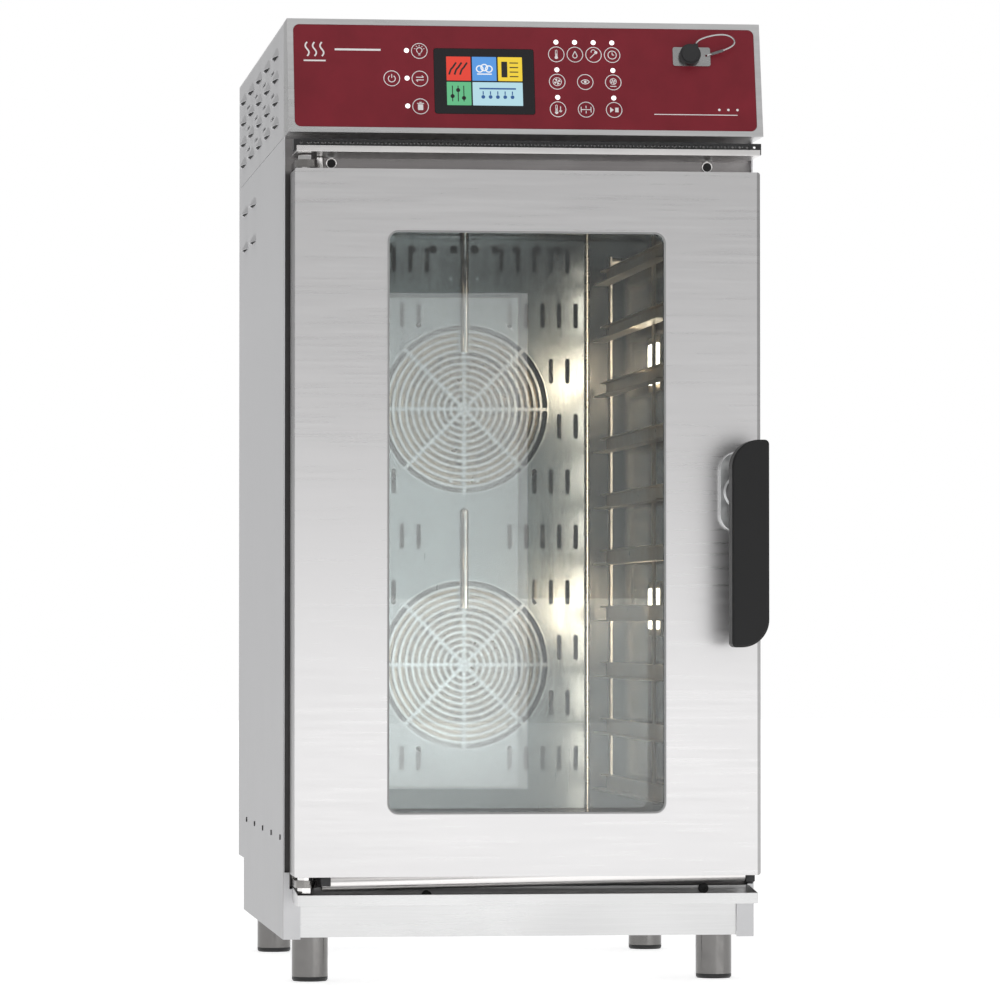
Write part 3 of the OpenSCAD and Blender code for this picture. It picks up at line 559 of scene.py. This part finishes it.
def draw_keys():
    d = Drawing("key_rings", FACE)
    for x, y in [POWER, *LEFT_KEYS, *TOP_KEYS, *MID_KEYS, *LOW_KEYS]:
        d.arc(x, y, RING_R, 0, 360, 0.8, steps=48)
    d.finish(M["print"])

    d = Drawing("key_symbols", FACE)
    x, y = POWER
    d.arc(x, y - 0.3, 3.8, 125, 415, LINE)
    d.stroke([(x, y + 0.6), (x, y + 4.8)], LINE)

    x, y = LEFT_KEYS[0]                           # chamber light
    d.arc(x, y + 0.8, 3.0, -60, 240, LINE)
    d.stroke([(x - 1.5, y - 3.0), (x + 1.5, y - 3.0)], LINE)
    d.stroke([(x - 1.1, y - 4.6), (x + 1.1, y - 4.6)], LINE)
    for a in (20, 55, 90, 125, 160):
        c, s = math.cos(math.radians(a)), math.sin(math.radians(a))
        d.stroke([(x + 4.4 * c, y + 0.8 + 4.4 * s), (x + 6.0 * c, y + 0.8 + 6.0 * s)], 0.7)

    x, y = LEFT_KEYS[1]                           # reversing arrows
    for s in (-1, 1):
        d.stroke([(x - 4.2 * s, y + 1.5 * s), (x + 4.2 * s, y + 1.5 * s), (x + 2.2 * s, y + 3.4 * s)], LINE)

    x, y = LEFT_KEYS[2]                           # tray with a lid
    d.box(x - 2.9, y - 4.2, x + 2.9, y + 2.4, 0.8)
    d.stroke([(x - 3.8, y + 3.4), (x + 3.8, y + 3.4)], LINE)
    d.stroke([(x - 1.2, y + 4.6), (x + 1.2, y + 4.6)], LINE)

    x, y = TOP_KEYS[0]                            # thermometer
    thermometer(d, x, y)
    x, y = TOP_KEYS[1]                            # drop
    drop(d, x, y - 0.4, 3.3)
    x, y = TOP_KEYS[2]                            # probe
    d.stroke([(x - 4.0, y - 4.0), (x + 2.0, y + 2.0)], LINE)
    d.disc(x + 2.6, y + 2.6, 1.7)
    d.arc(x - 0.2, y + 3.4, 2.4, 20, 200, 0.7, steps=10)
    x, y = TOP_KEYS[3]                            # clock
    clock(d, x, y)

    x, y = MID_KEYS[0]                            # fan
    fan(d, x, y, 4.6)
    x, y = MID_KEYS[1]                            # eye-shaped view key
    d.arc(x, y - 3.0, 5.6, 35, 145, LINE, steps=12)
    d.arc(x, y + 3.4, 5.6, 215, 325, LINE, steps=12)
    d.disc(x, y + 0.2, 1.5)
    x, y = MID_KEYS[2]                            # slow fan
    fan(d, x, y + 1.0, 3.4)
    d.stroke([(x - 3.4, y - 4.6), (x + 3.4, y - 4.6)], LINE)

    x, y = LOW_KEYS[0]                            # core temperature
    thermometer(d, x - 1.6, y)
    d.stroke([(x + 2.8, y + 3.4), (x + 2.8, y - 3.0)], LINE)
    d.stroke([(x + 1.2, y - 1.4), (x + 2.8, y - 3.2), (x + 4.4, y - 1.4)], LINE)
    x, y = LOW_KEYS[1]                            # vent
    d.stroke([(x - 5.2, y), (x + 5.2, y)], LINE)
    for s in (-1, 1):
        d.stroke([(x + 5.4 * s, y - 3.2), (x + 5.4 * s, y + 3.2)], LINE)
        d.stroke([(x, y + 1.4 * s), (x, y + 4.4 * s)], LINE)
    x, y = LOW_KEYS[2]                            # run and halt
    d.fill([(x - 4.4, y - 3.2), (x - 0.4, y), (x - 4.4, y + 3.2)])
    d.box(x + 1.2, y - 2.6, x + 4.8, y + 2.6, 0.3)
    d.finish(M["print"])


def thermometer(d, x, y):
    d.disc(x, y - 3.6, 1.8)
    d.stroke([(x - 0.9, y - 3.0), (x - 0.9, y + 4.0)], 0.6)
    d.stroke([(x + 0.9, y - 3.0), (x + 0.9, y + 4.0)], 0.6)
    d.arc(x, y + 4.0, 0.9, 0, 180, 0.6, steps=8)
    d.stroke([(x, y - 3.0), (x, y + 1.0)], 0.7)


def drop(d, x, y, r):
    d.arc(x, y - r * 0.35, r * 0.72, -210, 30, LINE, steps=18)
    tip = (x, y + r * 1.3)
    for s in (-1, 1):
        d.stroke([(x + s * r * 0.62, y + r * 0.0), tip], LINE)


def clock(d, x, y):
    d.arc(x, y, 4.6, 0, 360, LINE, steps=30)
    d.stroke([(x, y + 3.0), (x, y), (x + 2.2, y)], LINE)


def fan(d, x, y, r):
    d.arc(x, y, r, 0, 360, 0.7, steps=30)
    for a in range(0, 360, 90):
        c, s = math.cos(math.radians(a)), math.sin(math.radians(a))
        c2, s2 = math.cos(math.radians(a + 50)), math.sin(math.radians(a + 50))
        d.fill([(x, y), (x + r * 0.8 * c, y + r * 0.8 * s), (x + r * 0.8 * c2, y + r * 0.8 * s2)])


draw_keys()


def draw_status_lights():
    d = Drawing("status_lights", FACE, lift=0.25 * MM, thick=0.2 * MM)
    places = [(x - 14.0, y + 0.3) for x, y in LEFT_KEYS]
    places += [(x, y + 14.0) for x, y in TOP_KEYS]
    places += [(x, y + 13.6) for x, y in (MID_KEYS[0], MID_KEYS[2], LOW_KEYS[0], LOW_KEYS[2])]
    for x, y in places:
        d.disc(x, y, 2.7, sides=28)
    d.finish(M["led"])


draw_status_lights()


def draw_plain_marks():
    """Generic marks where lettering would be: three steam waves and a ruled line."""
    d = Drawing("steam_mark", FACE)
    for k in range(3):
        x0 = -238 + 8 * k
        d.stroke([(x0 + 2.0 * math.sin(i / 12 * 2 * math.pi), 22 + 16 * i / 12) for i in range(13)], 1.7)
    d.stroke([(-242, 17), (-218, 17)], 1.7)
    d.stroke([(-208, 30), (-158, 30)], 2.2)
    d.stroke([(140, -40), (232, -40)], 0.9)
    for k in range(3):
        d.disc(212 + 10 * k, -34, 1.4)
    d.finish(M["print"])


draw_plain_marks()


# ---------------------------------------------------------------- display picture

SCREEN = face_matrix("display_module")


def tile(name, x0, y0, x1, y1, colour, strength=0.9):
    d = Drawing(name, SCREEN, lift=0.10 * MM)
    d.box(x0, y0, x1, y1, 0.6)
    d.finish(glowing(name + "_light", colour, strength, rough=0.15))


def draw_display():
    pitch, size, low, high = 28.2, 26.6, 0.6, 28.0
    left = -41.2
    tile("tile_red", left, low, left + size, high, (0.82, 0.045, 0.02))
    tile("tile_blue", left + pitch, low, left + pitch + size, high, (0.09, 0.33, 0.80))
    tile("tile_yellow", left + 2 * pitch, low, left + 2 * pitch + size, high, (0.95, 0.68, 0.03))
    tile("tile_green", left, -27.6, left + size, -1.0, (0.12, 0.52, 0.24))
    tile("tile_cyan", left + pitch, -27.6, left + 2 * pitch + size, -1.0, (0.55, 0.85, 0.95), 0.8)

    d = Drawing("tile_symbols_dark", SCREEN, lift=0.16 * MM)
    x, y = left + size / 2, (low + high) / 2
    for k in (-1, 0, 1):                          # three heat strokes
        bend = [(-4.5, -7), (-2.5, -1), (-0.5, 1), (3.5, 7)]
        d.stroke([(x + across + 6 * k, y + up) for across, up in bend], 2.0)
    x += 2 * pitch                                # recipe card
    d.box(x - 9.5, y - 9.5, x - 3.0, y + 8.5, 0.5)
    for k in range(4):
        d.stroke([(x - 0.5, y - 8.5 + 5.2 * k), (x + 9.0, y - 8.5 + 5.2 * k)], 1.2)
    x, y = left + size / 2, -14.3                 # settings sliders
    for k, h in zip((-1, 0, 1), (-3, 4, -5)):
        d.stroke([(x - 1 + 6.2 * k, y - 9), (x - 1 + 6.2 * k, y + 9)], 1.0)
        d.disc(x - 1 + 6.2 * k, y + h, 2.3)
    d.finish(plastic("screen_black", (0.02, 0.02, 0.02), 0.2))

    d = Drawing("tile_symbols_white", SCREEN, lift=0.16 * MM)
    x, y = left + pitch + size / 2, (low + high) / 2
    for k in (-1, 0, 1):                          # steam cloud
        d.arc(x + 5.0 * k, y + 1.5 - abs(k) * 1.6, 3.6, 0, 360, 1.3, steps=20)
    d.stroke([(x - 8, y - 6), (x + 8, y - 6)], 1.3)
    d.finish(glowing("symbol_white", (0.95, 0.97, 1.0), 0.9))

    d = Drawing("tile_symbols_navy", SCREEN, lift=0.16 * MM)
    x, y = left + pitch + (pitch + size) / 2, -14.3   # washing drops and a spray line
    for k in range(5):
        d.disc(x - 16 + 8 * k, y - 3.5, 2.1)
        d.stroke([(x - 16 + 8 * k, y - 1.0), (x - 16 + 8 * k, y + 3.0)], 1.2)
    d.stroke([(x - 20, y + 6), (x + 20, y + 6)], 1.8)
    d.finish(glowing("symbol_navy", (0.02, 0.12, 0.38), 0.7))


draw_display()


# ---------------------------------------------------------------- small solid pieces

class Solids:
    """Boxes, rods and rings in millimetres, in the front plane's frame, gathered into one piece."""

    def __init__(self, name):
        self.name = name
        self.bm = bmesh.new()

    def box(self, x, y, z, bevel=0.4):
        made = bmesh.ops.create_cube(self.bm, size=1)
        verts = made["verts"]
        size = Vector((x[1] - x[0], y[1] - y[0], z[1] - z[0]))
        mid = Vector(((x[0] + x[1]) / 2, (y[0] + y[1]) / 2, (z[0] + z[1]) / 2))
        for v in verts:
            v.co = Vector((v.co.x * size.x, v.co.y * size.y, v.co.z * size.z)) + mid
        if bevel:
            edges = list({e for v in verts for e in v.link_edges})
            bmesh.ops.bevel(self.bm, geom=edges, offset=bevel, segments=2, affect="EDGES", profile=0.5)

    def rod(self, place, axis, r, length, bevel=0.4, sides=32, hole=0.0, dish=0.0):
        """A round rod from place along axis, with a chamfer and, if asked for, a dished hole."""
        rows = [(0, r), (length - bevel, r), (length, r - bevel)]
        if hole:
            rows += [(length, hole), (length - dish, hole * 0.9)]
        axis = Vector(axis).normalized()
        turn = axis.to_track_quat("Z", "Y").to_matrix()
        rings = []
        for h, radius in rows:
            turns = [2 * math.pi * i / sides for i in range(sides)]
            points = [Vector((radius * math.cos(a), radius * math.sin(a), h)) for a in turns]
            rings.append([self.bm.verts.new(Vector(place) + turn @ point) for point in points])
        for a, b in zip(rings, rings[1:]):
            for i in range(sides):
                j = (i + 1) % sides
                self.bm.faces.new((a[i], a[j], b[j], b[i]))
        self.bm.faces.new(list(reversed(rings[0])))
        self.bm.faces.new(rings[-1])

    def slab(self, outline, low, high):
        """A flat slab with an (x, y) outline, from one height to another."""
        rings = [[self.bm.verts.new((x, y, z)) for x, y in outline] for z in (low, high)]
        count = len(outline)
        for i in range(count):
            j = (i + 1) % count
            self.bm.faces.new((rings[0][i], rings[0][j], rings[1][j], rings[1][i]))
        self.bm.faces.new(list(reversed(rings[0])))
        self.bm.faces.new(rings[1])

    def finish(self, mat, slot, body="cabinet"):
        mesh = bpy.data.meshes.new(self.name)
        bmesh.ops.recalc_face_normals(self.bm, faces=self.bm.faces[:])
        self.bm.to_mesh(mesh)
        self.bm.free()
        mesh.transform(Matrix.Translation((0, front, 0)) @ Matrix.Scale(MM, 4))
        mesh.validate()
        obj = bpy.data.objects.new(self.name, mesh)
        scene.collection.objects.link(obj)
        assign(obj, mat)
        mesh.set_sharp_from_angle(angle=math.radians(35))
        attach(obj, body)


# Louvre mouths in millimetres: (y, z) on each side panel and upper cover
MOUTHS = [(104 + 126.5 * i, 1021.3 - 25.4 * j) for i in range(5) for j in range(4)]
MOUTHS += [(y, z) for y in (447, 579) for z in (884, 841)]
MOUTH_R = 114.9                                  # the hood's inner radius, seen from above
MOUTH_AXIS = 148.1                               # its axis, from the oven's middle
MOUTH_HALF = 24
SHADE_SHEETS_BACK = 258.3


def louvre_shades():
    """Black sheets of painted shade inside the louvre mouths, which make them read as openings."""
    shade_sheets = Solids("louvre_shade_sheets")
    for side in (-1, 1):
        for y, z in MOUTHS:
            outline = [(side * SHADE_SHEETS_BACK, y - MOUTH_HALF)]
            for along in range(-MOUTH_HALF, MOUTH_HALF + 1, 4):
                outline.append((side * (MOUTH_AXIS + math.sqrt(MOUTH_R ** 2 - along ** 2)), y + along))
            outline.append((side * SHADE_SHEETS_BACK, y + MOUTH_HALF))
            shade_sheets.slab(outline, z + 0.3, z + 1.8)
        # Painted shade: a black sheet behind the upper louvres.
        shade_sheets.box(sorted((side * 257.6, side * 257.9)), (60, 650), (930, 1040), 0.1)
    shade_sheets.finish(M["void"], slot="rubber_black")


louvre_shades()


def trim_dots():
    """Two rows of bright points along the vent trim."""
    dots = Solids("trim_points")
    low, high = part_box("vent_trim")
    y = (low.y - front) / MM
    z0, z1 = low.z / MM, high.z / MM
    count, pitch = 124, 3.87
    for k in range(count):
        for part in (0.34, 0.68):
            place = (-239 + pitch * k, y + 0.1, z0 + (z1 - z0) * part)
            dots.rod(place, (0, -1, 0), 0.55, 0.25, bevel=0.1, sides=8)
    dots.finish(M["satin"], slot="dull_steel")


trim_dots()


def front_hardware():
    """Screws, stop pin and bumpers round the door opening, and the lever's plain disc."""
    heads = Solids("recess_screws")
    for x, z in ((-206.5, 897), (210, 897)):
        heads.rod((x, 10.6, z), (0, -1, 0), 6.2, 0.8, bevel=0.3)
    heads.rod((-220, -2, 886), (0, 0, 1), 4.6, 16.5, bevel=0.6)
    heads.finish(M["bright"], slot="bright_steel")

    screws = Solids("gutter_screws")
    screws.rod((-103, -3.6, 96.5), (0, -1, 0), 5.6, 3.2, bevel=0.6, hole=2.6, dish=1.6)
    screws.rod((203, -1.8, 102.5), (0, -1, 0), 5.6, 3.2, bevel=0.6, hole=2.6, dish=1.6)
    screws.finish(M["black"], slot="black_plastic")

    blocks = Solids("door_bumpers")
    blocks.box((-223.5, -213), (-66, -45), (110, 119.4), 0.8)
    blocks.box((241, 251), (-60, -46), (112, 119.4), 1.0)
    blocks.rod((246, -53, 112.2), (0, 0, -1), 4.2, 2.4, bevel=0.5, sides=6)
    blocks.finish(M["rubber"], body="door", slot="rubber_black")

    badge = Solids("handle_badge")
    low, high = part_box("handle_grip")
    badge.rod((233, (low.y - front) / MM + 0.6, 536), (0, -1, 0), 9.5, 0.55, bevel=0.3, sides=48)
    badge.finish(M["badge"], body="handle", slot="overlay_red")


def baffle_hardware():
    """The baffle's four small screws and the bead along each of its folded edges."""
    fixings = Solids("baffle_screws")
    for x, z in ((-16, 807.2), (16, 807.2), (-16, 563.9), (16, 563.9)):
        fixings.rod((x, 547.1, z), (0, -1, 0), 2.3, 1.3, bevel=0.4, sides=20, hole=0.9, dish=0.5)
    fixings.finish(M["satin"], slot="dull_steel")

    beads = Solids("baffle_beads")
    for x in (-149, 149):
        beads.rod((x, 544, 112), (0, 0, 1), 2.4, 755, bevel=0.6, sides=24)
    beads.finish(M["bead"], slot="bright_steel")


front_hardware()
baffle_hardware()


# ---------------------------------------------------------------- studio

def linked(name, things):
    """A collection of objects for light linking."""
    group = bpy.data.collections.new(name)
    for thing in things:
        group.objects.link(thing)
    return group


def area(name, place, target, width, height, watts, colour=(1, 1, 1), only=None, blockers=None):
    """A soft light, which may light only some objects, or be shaded only by some."""
    data = bpy.data.lights.new(name, "AREA")
    data.shape = "RECTANGLE"
    data.size, data.size_y = width, height
    data.energy = watts
    data.color = colour
    obj = bpy.data.objects.new(name, data)
    obj.location = place
    obj.rotation_mode = "QUATERNION"
    obj.rotation_quaternion = (Vector(target) - Vector(place)).to_track_quat("-Z", "Y")
    scene.collection.objects.link(obj)
    if only:
        obj.light_linking.receiver_collection = linked(name + "_receivers", only)
    if blockers:
        obj.light_linking.blocker_collection = linked(name + "_blockers", blockers)


def studio_floor():
    """A plain pale floor."""
    bpy.ops.mesh.primitive_plane_add(size=30, location=(0, 0, 0))
    floor = bpy.context.object
    floor.name = "studio_floor"
    mat, tree, bsdf = new_material("studio_white")
    bsdf.inputs["Base Color"].default_value = (0.85, 0.85, 0.85, 1)
    bsdf.inputs["Roughness"].default_value = 0.9
    bsdf.inputs["Emission Color"].default_value = (1, 1, 1, 1)
    bsdf.inputs["Emission Strength"].default_value = 0.62
    assign(floor, mat)


def studio_world():
    """White to the camera; to everything else, pale below the horizon and greyer above it."""
    world = bpy.data.worlds.new("studio")
    scene.world = world
    world.use_nodes = True
    tree = world.node_tree
    tree.nodes.clear()
    coord = add(tree, "ShaderNodeTexCoord")
    split = add(tree, "ShaderNodeSeparateXYZ")
    tree.links.new(coord.outputs["Generated"], split.inputs[0])
    ramp = add(tree, "ShaderNodeValToRGB")
    tree.links.new(remap(tree, split.outputs["Z"], -1, 1, 0, 1), ramp.inputs["Fac"])
    stops = [(0.0, 0.95), (0.49, 0.9), (0.53, 0.36), (0.70, 0.42), (1.0, 0.8)]
    while len(ramp.color_ramp.elements) < len(stops):
        ramp.color_ramp.elements.new(0.5)
    for element, (place, value) in zip(ramp.color_ramp.elements, stops):
        element.position = place
        element.color = (value, value, value, 1)
    soft = add(tree, "ShaderNodeBackground", Strength=1.0)
    tree.links.new(ramp.outputs["Color"], soft.inputs["Color"])
    white = add(tree, "ShaderNodeBackground", Strength=1.0)
    white.inputs["Color"].default_value = (1, 1, 1, 1)
    rays = add(tree, "ShaderNodeLightPath")
    mix = add(tree, "ShaderNodeMixShader")
    out = add(tree, "ShaderNodeOutputWorld")
    tree.links.new(rays.outputs["Is Camera Ray"], mix.inputs[0])
    tree.links.new(soft.outputs[0], mix.inputs[1])
    tree.links.new(white.outputs[0], mix.inputs[2])
    tree.links.new(mix.outputs[0], out.inputs["Surface"])


LAMP_Z = (0.689, 0.410)                          # the chamber lamps' heights
LAMP_COLOUR = (1.0, 0.80, 0.58)
WARM = (1.0, 0.88, 0.74)
MIDDLE_Z = 0.5                                   # the chamber's middle height


def studio_lights():
    """Soft room lights, the chamber's lamps, and the pale card that the window mirrors."""
    area("low_front", (0.1, -2.4, 0.22), (0, -0.3, 0.3), 2.4, 0.42, 2.0)
    area("top_soft", (0.0, -1.2, 3.2), (0, 0, 0.5), 3.0, 2.4, 12)
    for z in LAMP_Z:
        area("chamber_glow", (0.172, front + 0.214, z), (-0.1, front + 0.3, z), 0.07, 0.045, 0.35,
             LAMP_COLOUR)
    for fan in ("upper", "lower"):
        impeller = NODES[fan + "_impeller"]
        low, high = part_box(fan + "_impeller")
        middle = (low + high) / 2
        area("fan_glow", (middle.x - 0.16, middle.y - 0.22, middle.z + 0.10), middle, 0.12, 0.12, 0.05,
             (1.0, 0.83, 0.62), only=[impeller, NODES["heaters"]], blockers=[impeller])
    chamber = [NODES[name] for name in ("fan_baffle", "tray_racks", "steam_injectors")]
    beads = bpy.data.objects["baffle_beads"]
    racks = NODES["tray_racks"]
    area("bead_glow", (0.0, front + 0.1, MIDDLE_Z), (0.149, front + 0.544, MIDDLE_Z), 0.2, 0.7, 2.5,
         (1.0, 0.9, 0.78), only=[beads], blockers=[beads])
    area("edge_glow", (0.174, front + 0.33, MIDDLE_Z), (0.12, front + 0.547, MIDDLE_Z), 0.006, 0.66, 0.34,
         WARM, only=chamber)
    area("rack_glow", (-0.1, front + 0.05, MIDDLE_Z), (0.18, front + 0.3, MIDDLE_Z), 0.08, 0.7, 1.0,
         WARM, only=[racks], blockers=[racks])
    area("leg_strip", (1.4, -2.1, 0.62), (0, -0.1, 0.05), 2.2, 1.2, 30, only=[NODES["foot_tubes"]])
    area("window_card", (0.145, front - 2.07, 0.514), (-0.075, front - 0.07, 0.484), 0.21, 0.728, 0.75,
         only=[NODES["outer_glass"], NODES["inner_glass"]])


studio_floor()
studio_world()
studio_lights()
scene.view_settings.view_transform = "Standard"
